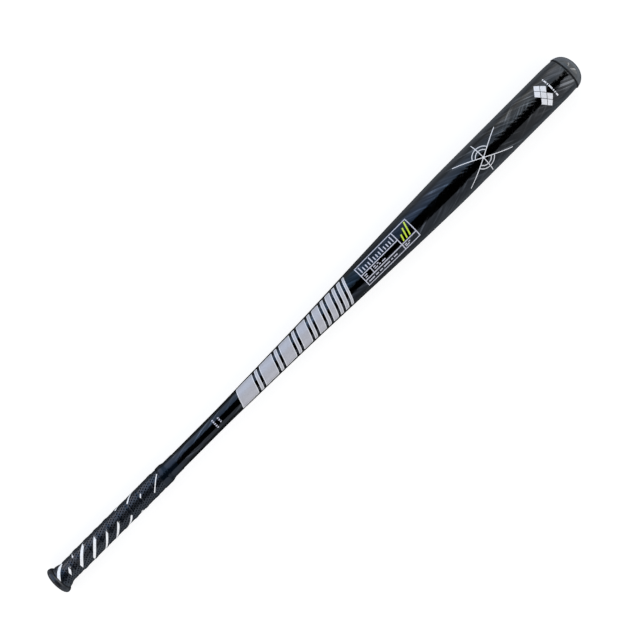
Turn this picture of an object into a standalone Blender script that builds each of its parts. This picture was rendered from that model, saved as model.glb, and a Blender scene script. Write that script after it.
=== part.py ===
# Pesapallo bat: a tapered carbon tube with a moulded knob, a wound grip and a domed end cap.
# Lengths are in metres. The bat lies along +X, knob first; the origin is the centre of the
# knob's flat end. Every piece is modelled upright round its own Z, and one empty lays the bat down.

import math

import bpy
from mathutils import Matrix, Vector

# Whole bat
BAT_LENGTH = 0.9795
FIT_GAP = 0.0003
WRAP_GAP = 0.00025
FACETS = 32

# Tube, outer surface: handle, taper stations, barrel and drawn-in tip
HANDLE_RADIUS = 0.0125
HANDLE_END = 0.300
LOWER_TAPER_AT = 0.371
LOWER_TAPER_RADIUS = 0.01385
MIDDLE_TAPER_AT = 0.483
MIDDLE_TAPER_RADIUS = 0.0166
UPPER_TAPER_AT = 0.590
UPPER_TAPER_RADIUS = 0.0207
SHOULDER_AT = 0.690
SHOULDER_RADIUS = 0.0242
BARREL_START = 0.758
BARREL_RADIUS = 0.02565
TIP_DRAW_LENGTH = 0.023
TIP_DRAW_DEPTH = 0.00105

# Tube, wall and the machined seat for the cap
HANDLE_WALL = 0.0034
BARREL_WALL = 0.0032
SEAT_WALL = 0.0033
SEAT_LENGTH = 0.026

# Knob
KNOB_RADIUS = 0.0202
KNOB_FACE_RADIUS = 0.0126
KNOB_BACK_RADIUS = 0.0161
KNOB_FRONT_ROUND = 0.0039
KNOB_WIDTH = 0.0094
FLARE_ROOT_RADIUS = 0.0154
FLARE_LENGTH = 0.014
FLARE_CURVE = 1.8
KNOB_SPIGOT_LENGTH = 0.038
SPIGOT_LEAD = 0.0012

# Balance weight in the knob's pocket
WEIGHT_RADIUS = 0.0048
WEIGHT_LENGTH = 0.022
POCKET_MOUTH = 0.006
WEIGHT_CHAMFER = 0.0006

# Grip tape, a left-handed winding
TAPE_PITCH = 0.0197
TAPE_SEAM = 0.0005
TAPE_LOWER_THICKNESS = 0.0016
TAPE_UPPER_THICKNESS = 0.0013
TAPE_PRESSED_THICKNESS = 0.0010
TAPE_EDGE_ROUND = 0.0004
TAPE_PRESS_LEAD = 0.0048
TAPE_PRESS_RAMP = 0.0040
TAPE_END = 0.2070
TAPE_SEAM_AT_TOP = 0.0425
TAPE_LEAST_WIDTH = 0.0012
TURN_POINTS = 24
WIDTH_STEPS = 4

# Finishing band over the end of the tape
BAND_START = 0.1978
BAND_SLANT = 0.0037
BAND_END = 0.2287
BAND_THICKNESS = 0.00035
BAND_STEP_LENGTH = 0.0042

# Foam plug in the barrel
FOAM_LENGTH = 0.110
FOAM_CHAMFER = 0.002

# Seal ring and end cap
SEAL_THICKNESS = 0.0009
CAP_HEIGHT = 0.0177
DOME_SWELL = 0.00015
DOME_DEPTH = 0.0230
DOME_FULLNESS = 2.3
DOME_WALL = 0.0035
CAP_EDGE_ROUND = 0.0007
CAP_SPIGOT_LENGTH = 0.024
CAP_SPIGOT_WALL = 0.0026
RIB_COUNT = 3
RIB_WIDTH = 0.0018
RIB_HEIGHT = 0.0007
RIB_PITCH = 0.0060
SPIGOT_SHOULDER_LENGTH = 0.0018

# How finely the profiles are divided
DRAW_STEPS = 4
TAPER_STEPS = 20
BORE_STEPS = 14
FLARE_STEPS = 7
KNOB_ROUND_STEPS = 5
FOAM_STEPS = 4
DOME_STEPS = 9
HOLLOW_STEPS = 6
BAND_STEP_DIVISIONS = 4
SHARP_ANGLE = math.radians(40.0)
MERGE_DISTANCE = 0.00001

# Places that follow from the sizes above
CAP_BASE = BAT_LENGTH - CAP_HEIGHT
SEAL_START = CAP_BASE - FIT_GAP - SEAL_THICKNESS
TUBE_END = SEAL_START - FIT_GAP
TUBE_START = KNOB_WIDTH + FLARE_LENGTH + FIT_GAP
TIP_DRAW_START = TUBE_END - TIP_DRAW_LENGTH
SEAT_START = TUBE_END - SEAT_LENGTH
TIP_RADIUS = BARREL_RADIUS - TIP_DRAW_DEPTH
SEAT_RADIUS = TIP_RADIUS - SEAT_WALL
BARREL_BORE = BARREL_RADIUS - BARREL_WALL
SEAT_SHOULDER = SEAT_START - (BARREL_BORE - SEAT_RADIUS)
HANDLE_BORE = HANDLE_RADIUS - HANDLE_WALL
KNOB_SPIGOT_RADIUS = HANDLE_BORE - FIT_GAP
KNOB_SPIGOT_END = KNOB_WIDTH + FLARE_LENGTH + KNOB_SPIGOT_LENGTH
POCKET_RADIUS = WEIGHT_RADIUS + FIT_GAP
WEIGHT_START = KNOB_SPIGOT_END - POCKET_MOUTH - WEIGHT_LENGTH
POCKET_FLOOR = WEIGHT_START - FIT_GAP
TAPE_START = KNOB_WIDTH + FIT_GAP
TAPE_WIDTH = TAPE_PITCH - TAPE_SEAM
TAPE_PRESSED_FROM = BAND_START - BAND_SLANT - TAPE_PRESS_LEAD
CAP_SPIGOT_RADIUS = SEAT_RADIUS - FIT_GAP
DOME_RADIUS = BARREL_RADIUS + DOME_SWELL
FOAM_END = SEAT_SHOULDER - FIT_GAP

HALF_FACET = math.pi / FACETS
HALF_TURN_STEP = math.pi / TURN_POINTS


def clear_scene():
    for thing in list(bpy.data.objects):
        bpy.data.objects.remove(thing, do_unlink=True)


def new_collection(name):
    collection = bpy.data.collections.new(name)
    bpy.context.scene.collection.children.link(collection)
    return collection


def plain_material(name, colour, roughness, metallic=0.0):
    material = bpy.data.materials.new(name)
    material.use_nodes = True
    shader = material.node_tree.nodes["Principled BSDF"]
    shader.inputs["Base Color"].default_value = (*colour, 1.0)
    shader.inputs["Roughness"].default_value = roughness
    shader.inputs["Metallic"].default_value = metallic
    material.diffuse_color = (*colour, 1.0)
    return material


def steps(count):
    """Even fractions from 0 to 1, both ends included."""
    return [index / count for index in range(count + 1)]


# Surfaces that more than one piece reads

def taper_stations():
    return [
        (HANDLE_END, HANDLE_RADIUS),
        (LOWER_TAPER_AT, LOWER_TAPER_RADIUS),
        (MIDDLE_TAPER_AT, MIDDLE_TAPER_RADIUS),
        (UPPER_TAPER_AT, UPPER_TAPER_RADIUS),
        (SHOULDER_AT, SHOULDER_RADIUS),
        (BARREL_START, BARREL_RADIUS),
    ]


def taper_slopes(stations):
    """Slopes of a smooth curve through the stations that never overshoots them."""
    runs = []
    for (start, low), (end, high) in zip(stations, stations[1:]):
        runs.append((high - low) / (end - start))
    slopes = [0.0]
    for before, after in zip(runs, runs[1:]):
        rising_both = before * after > 0.0
        slopes.append(2.0 * before * after / (before + after) if rising_both else 0.0)
    slopes.append(0.0)
    return slopes


def tube_radius(z):
    """Outer radius of the tube at a distance z from the knob's end."""
    if z <= HANDLE_END:
        return HANDLE_RADIUS
    if z >= TIP_DRAW_START:
        share = (z - TIP_DRAW_START) / TIP_DRAW_LENGTH
        return BARREL_RADIUS - TIP_DRAW_DEPTH * share * share
    if z >= BARREL_START:
        return BARREL_RADIUS
    stations = taper_stations()
    slopes = taper_slopes(stations)
    for index in range(len(stations) - 1):
        start, low = stations[index]
        end, high = stations[index + 1]
        if z <= end:
            length = end - start
            t = (z - start) / length
            rise = t * t * (3.0 - 2.0 * t)
            lead = t * (1.0 - t) * (1.0 - t) * length * slopes[index]
            trail = t * t * (t - 1.0) * length * slopes[index + 1]
            return low + (high - low) * rise + lead + trail
    return BARREL_RADIUS


def bore_radius(z):
    """Radius of the tube's bore; the wall thins evenly from the handle to the barrel."""
    share = (z - HANDLE_END) / (BARREL_START - HANDLE_END)
    share = min(1.0, max(0.0, share))
    wall = HANDLE_WALL + (BARREL_WALL - HANDLE_WALL) * share
    return tube_radius(z) - wall


def flare_radius(z):
    """Outer radius of the knob's flare, which runs out flush with the tube."""
    share = min(1.0, max(0.0, (z - KNOB_WIDTH) / FLARE_LENGTH))
    return HANDLE_RADIUS + (FLARE_ROOT_RADIUS - HANDLE_RADIUS) * (1.0 - share) ** FLARE_CURVE


def wrapped_radius(z):
    """Radius of whatever the tape is wound on."""
    return max(flare_radius(z), tube_radius(z))


# Turned pieces

def turned(name, profile, material, collection, frame, closed=False):
    """Turns a profile of (radius, height) points, listed from the top down its outer side."""
    mesh = bpy.data.meshes.new(name)
    points = [(radius, 0.0, height) for radius, height in profile]
    edges = [(index, index + 1) for index in range(len(points) - 1)]
    if closed:
        edges.append((len(points) - 1, 0))
    mesh.from_pydata(points, edges, [])
    piece = bpy.data.objects.new(name, mesh)
    collection.objects.link(piece)
    screw = piece.modifiers.new("Turn", "SCREW")
    screw.axis = "Z"
    screw.angle = 2.0 * math.pi
    screw.steps = FACETS
    screw.render_steps = FACETS
    screw.use_merge_vertices = True
    screw.merge_threshold = MERGE_DISTANCE
    keep_evaluated(piece)
    # a facet, not a corner, faces the ground
    piece.data.transform(Matrix.Rotation(HALF_FACET, 4, "Z"))
    dress(piece, material, frame)
    return piece


def keep_evaluated(piece):
    depsgraph = bpy.context.evaluated_depsgraph_get()
    evaluated = piece.evaluated_get(depsgraph)
    mesh = bpy.data.meshes.new_from_object(evaluated)
    plain = piece.data
    piece.modifiers.clear()
    piece.data = mesh
    mesh.name = piece.name
    bpy.data.meshes.remove(plain)


def dress(piece, material, frame):
    piece.data.materials.clear()
    piece.data.materials.append(material)
    piece.data.shade_smooth()
    piece.data.set_sharp_from_angle(angle=SHARP_ANGLE)
    piece.parent = frame


def tube_profile():
    outer = [(TIP_RADIUS, TUBE_END)]
    for share in steps(DRAW_STEPS)[1:]:
        z = TUBE_END - TIP_DRAW_LENGTH * share
        outer.append((tube_radius(z), z))
    for share in steps(TAPER_STEPS):
        z = BARREL_START + (HANDLE_END - BARREL_START) * share
        outer.append((tube_radius(z), z))
    outer.append((HANDLE_RADIUS, TUBE_START))
    inner = [(HANDLE_BORE, TUBE_START)]
    for share in steps(BORE_STEPS):
        z = HANDLE_END + (BARREL_START - HANDLE_END) * share
        inner.append((bore_radius(z), z))
    inner.append((BARREL_BORE, SEAT_SHOULDER))
    inner.append((SEAT_RADIUS, SEAT_START))
    inner.append((SEAT_RADIUS, TUBE_END))
    return outer + inner


def knob_profile():
    outer = [(0.0, POCKET_FLOOR), (POCKET_RADIUS, POCKET_FLOOR), (POCKET_RADIUS, KNOB_SPIGOT_END)]
    outer.append((KNOB_SPIGOT_RADIUS - SPIGOT_LEAD, KNOB_SPIGOT_END))
    outer.append((KNOB_SPIGOT_RADIUS, KNOB_SPIGOT_END - SPIGOT_LEAD))
    outer.append((KNOB_SPIGOT_RADIUS, KNOB_WIDTH + FLARE_LENGTH))
    for share in steps(FLARE_STEPS):
        z = KNOB_WIDTH + FLARE_LENGTH * (1.0 - share)
        outer.append((flare_radius(z), z))
    back_round = KNOB_WIDTH - KNOB_FRONT_ROUND
    for share in steps(KNOB_ROUND_STEPS):
        angle = share * math.pi / 2.0
        radius = KNOB_BACK_RADIUS + (KNOB_RADIUS - KNOB_BACK_RADIUS) * math.sin(angle)
        outer.append((radius, KNOB_FRONT_ROUND + back_round * math.cos(angle)))
    for share in steps(KNOB_ROUND_STEPS)[1:]:
        angle = share * math.pi / 2.0
        radius = KNOB_FACE_RADIUS + (KNOB_RADIUS - KNOB_FACE_RADIUS) * math.cos(angle)
        outer.append((radius, KNOB_FRONT_ROUND * (1.0 - math.sin(angle))))
    outer.append((0.0, 0.0))
    return outer


def weight_profile():
    top = WEIGHT_START + WEIGHT_LENGTH
    return [
        (0.0, top),
        (WEIGHT_RADIUS - WEIGHT_CHAMFER, top),
        (WEIGHT_RADIUS, top - WEIGHT_CHAMFER),
        (WEIGHT_RADIUS, WEIGHT_START + WEIGHT_CHAMFER),
        (WEIGHT_RADIUS - WEIGHT_CHAMFER, WEIGHT_START),
        (0.0, WEIGHT_START),
    ]


def foam_profile():
    start = FOAM_END - FOAM_LENGTH
    profile = [(0.0, FOAM_END), (BARREL_BORE - FIT_GAP - FOAM_CHAMFER, FOAM_END)]
    for share in steps(FOAM_STEPS):
        z = FOAM_END - FOAM_CHAMFER - (FOAM_LENGTH - 2.0 * FOAM_CHAMFER) * share
        profile.append((bore_radius(z) - FIT_GAP, z))
    profile.append((bore_radius(start) - FIT_GAP - FOAM_CHAMFER, start))
    profile.append((0.0, start))
    return profile


def seal_profile():
    """The ring stands proud of the drawn-in tube, out to the barrel's radius."""
    inner = CAP_SPIGOT_RADIUS + FIT_GAP
    top = SEAL_START + SEAL_THICKNESS
    return [(BARREL_RADIUS, top), (BARREL_RADIUS, SEAL_START), (inner, SEAL_START), (inner, top)]


def dome_point(angle, radius, depth):
    """A point of a dome fuller than an ellipse; the angle runs from its base to its tip."""
    power = 2.0 / DOME_FULLNESS
    across = radius * max(0.0, math.cos(angle)) ** power
    return across, BAT_LENGTH - DOME_DEPTH + depth * math.sin(angle) ** power


def cap_profile():
    """Outside from the tip to the rim, under the rim to the ribbed spigot, then back up the hollow."""
    lift = DOME_DEPTH - CAP_HEIGHT
    base_angle = math.asin(((lift + CAP_EDGE_ROUND) / DOME_DEPTH) ** (DOME_FULLNESS / 2.0))
    profile = [(0.0, BAT_LENGTH)]
    for share in steps(DOME_STEPS)[1:]:
        angle = math.pi / 2.0 + (base_angle - math.pi / 2.0) * share
        profile.append(dome_point(angle, DOME_RADIUS, DOME_DEPTH))
    rim = profile[-1][0]
    half_round = CAP_EDGE_ROUND * (1.0 - math.cos(math.pi / 4.0))
    profile.append((rim - half_round, CAP_BASE + half_round))
    profile.append((rim - CAP_EDGE_ROUND, CAP_BASE))
    body = CAP_SPIGOT_RADIUS - RIB_HEIGHT
    profile.append((CAP_SPIGOT_RADIUS, CAP_BASE))
    profile.append((CAP_SPIGOT_RADIUS, SEAL_START - FIT_GAP - SPIGOT_SHOULDER_LENGTH))
    for index in range(RIB_COUNT):
        crest = SEAL_START - FIT_GAP - RIB_PITCH * (index + 1)
        profile.append((body, crest + RIB_WIDTH))
        profile.append((CAP_SPIGOT_RADIUS, crest))
        profile.append((body, crest - RIB_HEIGHT))
    foot = CAP_BASE - CAP_SPIGOT_LENGTH
    hollow = body - CAP_SPIGOT_WALL
    profile.append((body, foot))
    profile.append((hollow, foot))
    inner_radius = DOME_RADIUS - DOME_WALL
    inner_depth = DOME_DEPTH - DOME_WALL
    mouth_angle = math.acos((hollow / inner_radius) ** (DOME_FULLNESS / 2.0))
    for share in steps(HOLLOW_STEPS)[:-1]:
        angle = mouth_angle + (math.pi / 2.0 - mouth_angle) * share
        profile.append(dome_point(angle, inner_radius, inner_depth))
    profile.append((0.0, BAT_LENGTH - DOME_DEPTH + inner_depth))
    return profile


# Finishing band

def band_profile():
    pressed = (wrapped_radius(TAPE_END) + FIT_GAP) / math.cos(HALF_TURN_STEP) + TAPE_PRESSED_THICKNESS
    over_tape = (pressed + WRAP_GAP) / math.cos(HALF_FACET)
    on_tube = HANDLE_RADIUS + WRAP_GAP
    step_top = TAPE_END + FIT_GAP
    step_foot = step_top + BAND_STEP_LENGTH
    thick = BAND_THICKNESS
    outer = [(on_tube + thick, BAND_END), (on_tube + thick, step_foot + thick)]
    for share in steps(BAND_STEP_DIVISIONS)[1:-1]:
        blend = 0.5 - 0.5 * math.cos(math.pi * share)
        radius = on_tube + (over_tape - on_tube) * blend
        outer.append((radius + thick, step_foot + thick - BAND_STEP_LENGTH * share))
    outer.append((over_tape + thick, step_top + thick))
    outer.append((over_tape + thick, BAND_START))
    inner = [(over_tape, BAND_START), (over_tape, step_top)]
    for share in steps(BAND_STEP_DIVISIONS)[1:-1]:
        blend = 0.5 + 0.5 * math.cos(math.pi * share)
        radius = on_tube + (over_tape - on_tube) * blend
        inner.append((radius, step_top + BAND_STEP_LENGTH * share))
    inner.append((on_tube, step_foot))
    inner.append((on_tube, BAND_END))
    return outer + inner


def slant_band(band):
    """The lower edge is cut on the slant: it reaches further down the grip at -Y."""
    for vertex in band.data.vertices:
        if abs(vertex.co.z - BAND_START) < MERGE_DISTANCE:
            around = vertex.co.xy.length
            vertex.co.z += BAND_SLANT * vertex.co.y / around


# Grip tape

def tape_thickness(z, share):
    """Full thickness at the lower edge of a turn, thinner at its upper edge and near the band."""
    full = TAPE_LOWER_THICKNESS + (TAPE_UPPER_THICKNESS - TAPE_LOWER_THICKNESS) * share
    ramp = (z - TAPE_PRESSED_FROM + TAPE_PRESS_RAMP) / TAPE_PRESS_RAMP
    ramp = min(1.0, max(0.0, ramp))
    return full + (TAPE_PRESSED_THICKNESS - full) * ramp


def tape_point(angle, radius, z):
    """The angle runs from the top of the bat towards +Y."""
    return Vector((-radius * math.cos(angle), radius * math.sin(angle), z))


def tape_section(angle):
    """One cut across the tape, square to the bat: inner side upwards, then outer side back down."""
    low = TAPE_SEAM_AT_TOP + TAPE_PITCH * angle / (2.0 * math.pi)
    high = low + TAPE_WIDTH
    start = max(low, TAPE_START)
    end = min(high, TAPE_END)
    if end - start < TAPE_LEAST_WIDTH:
        if low < TAPE_START:
            end = start + TAPE_LEAST_WIDTH
        else:
            start = end - TAPE_LEAST_WIDTH
    inner = []
    outer = []
    for share in steps(WIDTH_STEPS):
        z = start + (end - start) * share
        across = min(1.0, max(0.0, (z - low) / TAPE_WIDTH))
        base = (wrapped_radius(z) + FIT_GAP) / math.cos(HALF_TURN_STEP)
        inner.append(tape_point(angle, base, z))
        outer.append(tape_point(angle, base + tape_thickness(z, across), z))
    first = outer[0]
    side = first.copy()
    side.xy *= 1.0 - TAPE_EDGE_ROUND / first.xy.length
    outer[0] = side
    rounded = first.copy()
    rounded.z += min(TAPE_EDGE_ROUND, (end - start) / WIDTH_STEPS / 2.0)
    outer.insert(1, rounded)
    return inner + outer[::-1]


def tape_angles():
    """Stations round the winding, from where the tape leaves the knob to where it meets its end."""
    turns_below = (TAPE_SEAM_AT_TOP + TAPE_WIDTH - TAPE_START - TAPE_LEAST_WIDTH) / TAPE_PITCH
    turns_above = (TAPE_END - TAPE_LEAST_WIDTH - TAPE_SEAM_AT_TOP) / TAPE_PITCH
    first = -int(turns_below * TURN_POINTS)
    last = int(turns_above * TURN_POINTS)
    return [2.0 * math.pi * index / TURN_POINTS for index in range(first, last + 1)]


def least_seam(sections):
    """Least distance from the upper edge of a turn to the lower edge of the turn above it."""
    least = TAPE_PITCH
    top_inner = WIDTH_STEPS
    top_outer = WIDTH_STEPS + 1
    for index in range(len(sections) - TURN_POINTS):
        above = sections[index + TURN_POINTS]
        low_edge = (above[0], above[-1], above[-2])
        for corner in (top_inner, top_outer):
            for point in low_edge:
                least = min(least, (sections[index][corner] - point).length)
    return least


def grip_tape(material, collection, frame):
    """One unbroken strip, lofted by hand because it follows the flare and its ends are trimmed."""
    sections = [tape_section(angle) for angle in tape_angles()]
    count = len(sections[0])
    points = [point for section in sections for point in section]
    faces = []
    for ring in range(len(sections) - 1):
        here = ring * count
        there = here + count
        for index in range(count):
            after = (index + 1) % count
            faces.append((here + index, there + index, there + after, here + after))
    last = (len(sections) - 1) * count
    faces.append(tuple(range(count)))
    faces.append(tuple(range(last, last + count))[::-1])
    mesh = bpy.data.meshes.new("grip_tape")
    mesh.from_pydata(points, [], faces)
    tape = bpy.data.objects.new("grip_tape", mesh)
    collection.objects.link(tape)
    dress(tape, material, frame)
    print("grip tape: %d stations, %.1f turns" % (len(sections), (len(sections) - 1) / TURN_POINTS))
    print("grip tape: least gap between turns %.2f mm" % (1000.0 * least_seam(sections)))
    return tape


def build():
    clear_scene()
    bat = new_collection("pesapallo_bat")
    frame = bpy.data.objects.new("bat_axis", None)
    frame.rotation_euler = (0.0, math.pi / 2.0, 0.0)
    bat.objects.link(frame)

    carbon = plain_material("clear_coated_carbon", (0.012, 0.013, 0.016), 0.16)
    rubber = plain_material("knob_rubber", (0.030, 0.030, 0.032), 0.55)
    brass = plain_material("brass", (0.70, 0.52, 0.25), 0.35, 1.0)
    leather = plain_material("perforated_grip", (0.022, 0.022, 0.024), 0.60)
    vinyl = plain_material("black_vinyl", (0.016, 0.017, 0.019), 0.30)
    foam = plain_material("yellow_foam", (0.62, 0.50, 0.24), 0.90)
    seal = plain_material("seal_rubber", (0.008, 0.008, 0.008), 0.70)
    cap = plain_material("cap_plastic", (0.045, 0.047, 0.050), 0.38)

    turned("bat_tube", tube_profile(), carbon, bat, frame, closed=True)
    turned("knob", knob_profile(), rubber, bat, frame)
    turned("balance_weight", weight_profile(), brass, bat, frame)
    grip_tape(leather, bat, frame)
    band = turned("finishing_band", band_profile(), vinyl, bat, frame, closed=True)
    slant_band(band)
    turned("barrel_foam", foam_profile(), foam, bat, frame)
    turned("cap_seal_ring", seal_profile(), seal, bat, frame, closed=True)
    turned("end_cap", cap_profile(), cap, bat, frame)
    bpy.context.view_layer.update()


build()
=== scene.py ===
# A pesapallo bat lying on a pale floor, seen from straight above.
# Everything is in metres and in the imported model's frame: the bat runs along +X from the knob
# to the tip, with +Z up. Angles round the bat start at the top and turn towards +Y.
from math import acos, asin, atan2, cos, floor, hypot, pi, radians, sin, tau

import bmesh
import bpy
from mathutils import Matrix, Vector


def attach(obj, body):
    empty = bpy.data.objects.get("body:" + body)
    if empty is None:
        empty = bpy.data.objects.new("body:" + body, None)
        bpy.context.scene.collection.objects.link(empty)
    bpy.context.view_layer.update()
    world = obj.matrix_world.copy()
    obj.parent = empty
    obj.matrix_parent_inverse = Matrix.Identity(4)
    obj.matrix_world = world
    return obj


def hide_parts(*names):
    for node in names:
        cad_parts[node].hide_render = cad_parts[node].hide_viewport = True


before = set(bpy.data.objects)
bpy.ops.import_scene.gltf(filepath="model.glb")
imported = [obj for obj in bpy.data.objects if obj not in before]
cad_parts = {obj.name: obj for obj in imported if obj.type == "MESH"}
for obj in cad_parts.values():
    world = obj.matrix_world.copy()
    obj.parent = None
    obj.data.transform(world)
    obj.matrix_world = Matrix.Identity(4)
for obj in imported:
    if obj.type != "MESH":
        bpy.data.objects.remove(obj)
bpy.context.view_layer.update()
print("frame: %d nodes" % len(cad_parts))


# small sums that several pieces use

def smooth(share):
    share = min(1.0, max(0.0, share))
    return share * share * (3.0 - 2.0 * share)


def between(low, high, share):
    return low + (high - low) * share


def spaced(start, end, steps, first=0):
    # even steps from start to end; first=1 leaves out the start
    return [between(start, end, step / steps) for step in range(first, steps + 1)]


def onBat(x, angle, radius):
    return Vector((x, radius * sin(angle), radius * cos(angle)))


# node helpers: a value is a number, a colour or another node's output

def isOutput(value):
    return isinstance(value, bpy.types.NodeSocket)


def plug(node, values):
    for socket, value in values.items():
        if isOutput(value):
            node.id_data.links.new(value, node.inputs[socket])
        else:
            node.inputs[socket].default_value = value


def addNode(kind, values, output=0, tree=None, **settings):
    # a node with a linked input goes into that input's tree
    if tree is None:
        tree = next(value.id_data for value in values.values() if isOutput(value))
    node = tree.nodes.new("ShaderNode" + kind)
    for name, value in settings.items():
        setattr(node, name, value)
    plug(node, values)
    return node.outputs[output]


def calc(operation, *values):
    return addNode("Math", dict(enumerate(values)), operation=operation)


def times(value, *others):
    for other in others:
        value = calc("MULTIPLY", value, other)
    return value


def noise(place, scale, detail=2.0, roughness=0.5):
    return addNode("TexNoise", {"Vector": place, "Scale": scale, "Detail": detail, "Roughness": roughness})


def patches(first, firstScale, second, secondScale, seed=0.0, detail=1.0):
    # noise stretched along two values of the surface
    place = addNode("CombineXYZ", {0: times(first, firstScale), 1: times(second, secondScale), 2: seed})
    return noise(place, 1.0, detail)


def spread(value, fromLow, fromHigh, toLow=0.0, toHigh=1.0):
    return addNode("MapRange", dict(enumerate((value, fromLow, fromHigh, toLow, toHigh))))


def near(value, middle, half, fade):
    return spread(calc("ABSOLUTE", calc("SUBTRACT", value, middle)), half, half + fade, 1.0, 0.0)


def mixColours(share, first, second):
    first, second = [value if isOutput(value) else (*value, 1.0) for value in (first, second)]
    return addNode("Mix", {0: share, 6: first, 7: second}, 2, data_type="RGBA")


def bump(height, distance, under=None):
    values = {"Height": height, "Distance": distance}
    if under is not None:
        values["Normal"] = under
    return addNode("Bump", values)


def woundPlace(tree):
    # turns round the bat, and metres along it
    place = addNode("UVMap", {}, tree=tree, uv_map="wound")
    parts = addNode("SeparateXYZ", {0: place}).node
    return parts.outputs[0], parts.outputs[1]


def newFinish(name):
    finish = bpy.data.materials.new(name)
    finish.use_nodes = True
    return finish, addNode("TexCoord", {}, "Object", finish.node_tree)


def dress(finish, values):
    plug(finish.node_tree.nodes["Principled BSDF"], values)
    return finish


# finishes

# the clear coat lies over the braid and the print
clearCoat = {"Coat Weight": 1.0, "Coat IOR": 1.46}

braid = {
    "towsAround": 44, "towAdvance": 0.0078, "seeds": (3.0, 71.0), "seedStep": 7.31,
    "streaks": (0.8, 22.0, 0.44, 0.66), "fibres": (1.6, 16.0, 0.35, 0.65),
    "patchScale": (11.0, 2.0, 3.7), "cloudScale": (34.0, 12.0, 9.2),
    "dark": (0.0006, 0.0006, 0.0008), "light": (0.340, 0.340, 0.340), "brightest": 0.39,
    "relief": 0.00002, "ripple": 0.000007, "beadsAround": 28.0, "beadStart": 0.29,
    "beadRow": (0.5164, 0.013, 0.010), "beadRise": 0.00015, "beadShare": 0.10,
    "beadPlaces": ((0.773, 0.010, 0.004), (0.868, 0.038, 0.008)),
    "beadGaps": (90.0, 5.1), "waveScale": 48.0, "wave": 0.00022,
}


def towFamily(crossing, along, seed):
    # one direction of the braid: how high its tows stand, and how its fibres catch the light
    across = calc("FRACT", crossing)
    number = calc("ADD", calc("MODULO", calc("FLOOR", crossing), braid["towsAround"]), seed)
    pale = addNode("TexWhiteNoise", {"W": number}, noise_dimensions="1D")
    tone = spread(calc("POWER", pale, 3.0), 0.0, 1.0, 0.15, 1.0)
    offset = times(number, braid["seedStep"])
    streaks, fibres = braid["streaks"], braid["fibres"]
    streak = spread(patches(across, streaks[0], along, streaks[1], offset), *streaks[2:])
    fibre = spread(patches(across, fibres[0], along, fibres[1], offset), *fibres[2:], 0.25, 1.0)
    edge = calc("POWER", calc("ABSOLUTE", calc("MULTIPLY_ADD", across, 2.0, -1.0)), 2.0)
    return calc("SUBTRACT", 1.0, edge), times(streak, tone, fibre)


def carbonFinish():
    finish, place = newFinish("braidedCarbonClearCoat")
    around, along = woundPlace(finish.node_tree)
    turned = times(around, braid["towsAround"])
    advance = calc("DIVIDE", along, braid["towAdvance"])
    # the constant keeps both counts positive
    left = calc("ADD", calc("ADD", turned, advance), 400.0)
    right = calc("ADD", calc("SUBTRACT", turned, advance), 400.0)
    leftCrown, leftBright = towFamily(left, along, braid["seeds"][0])
    rightCrown, rightBright = towFamily(right, along, braid["seeds"][1])
    # twill: each tow goes over two and under two
    count = calc("ADD", calc("FLOOR", left), calc("FLOOR", right))
    leftOnTop = calc("LESS_THAN", calc("MODULO", count, 4.0), 1.5)
    rightOnTop = calc("SUBTRACT", 1.0, leftOnTop)
    crown = calc("MULTIPLY_ADD", leftCrown, leftOnTop, times(rightCrown, rightOnTop))
    # broad patches where one direction of the fibres catches more light than the other
    wide, narrow, seed = braid["patchScale"]
    share = spread(patches(along, wide, around, narrow, seed), 0.42, 0.58)
    bright = calc("MULTIPLY_ADD", rightBright, share, times(leftBright, calc("SUBTRACT", 1.0, share)))
    wide, narrow, seed = braid["cloudScale"]
    cloud = spread(patches(along, wide, around, narrow, seed), 0.36, 0.64, 0.35, 1.25)
    bright = times(bright, spread(crown, 0.0, 1.0, 0.65, 1.0), cloud)
    bright = calc("MINIMUM", bright, braid["brightest"])
    # the coat is laid on by hand: a slow wave, and a trace of the weave under it
    wave = bump(noise(place, braid["waveScale"], 0.0), braid["wave"])
    # where the coat is thin the crossings show as a row of beads
    strength = braid["beadShare"]
    for spot in braid["beadPlaces"]:
        strength = calc("MAXIMUM", near(along, *spot), strength)
    scale, seed = braid["beadGaps"]
    missing = noise(addNode("CombineXYZ", {0: times(along, scale), 2: seed}), 1.0, 0.0)
    strength = times(strength, near(around, *braid["beadRow"]), spread(missing, 0.36, 0.52, 0.20, 1.0))
    rounds = calc("MULTIPLY_ADD", around, tau * braid["beadsAround"], tau * braid["beadStart"])
    beads = times(calc("COSINE", rounds), calc("COSINE", times(advance, tau)), strength)
    return dress(finish, {
        "Base Color": mixColours(bright, braid["dark"], braid["light"]),
        "Metallic": 1.0,
        "Roughness": 0.15,
        "Specular Tint": (0.15, 0.15, 0.15, 1.0),
        "Normal": bump(crown, braid["relief"]),
        **clearCoat,
        "Coat Roughness": 0.02,
        "Coat Normal": bump(crown, braid["ripple"], bump(beads, braid["beadRise"], wave)),
    })


moulding = {"dustScale": 60.0, "dustGain": 1.35, "dustLift": 0.002, "grainSpread": 0.05}


def mouldedFinish(name, colour, roughness, grainSize, grainDepth, specular=0.5):
    # moulded rubber and plastic: a fine grain, and a little dust in the tone
    finish, place = newFinish(name)
    grain = noise(place, 1.0 / grainSize, 3.0)
    dust = noise(place, moulding["dustScale"], 4.0, 0.6)
    pale = tuple(channel * moulding["dustGain"] + moulding["dustLift"] for channel in colour)
    smoother, rougher = roughness - moulding["grainSpread"], roughness + moulding["grainSpread"]
    return dress(finish, {
        "Specular IOR Level": specular,
        "Base Color": mixColours(spread(dust, 0.35, 0.75), colour, pale),
        "Roughness": spread(grain, 0.3, 0.7, smoother, rougher),
        "Normal": bump(grain, grainDepth),
    })


gripLook = {
    "tones": ((0.0034, 0.0053, 0.0090), (0.0056, 0.0082, 0.0128)),
    "ink": (0.95, 0.95, 0.95), "roughness": (0.18, 0.27), "specular": 0.72,
    "grainDepth": 0.00005,
}


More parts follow.
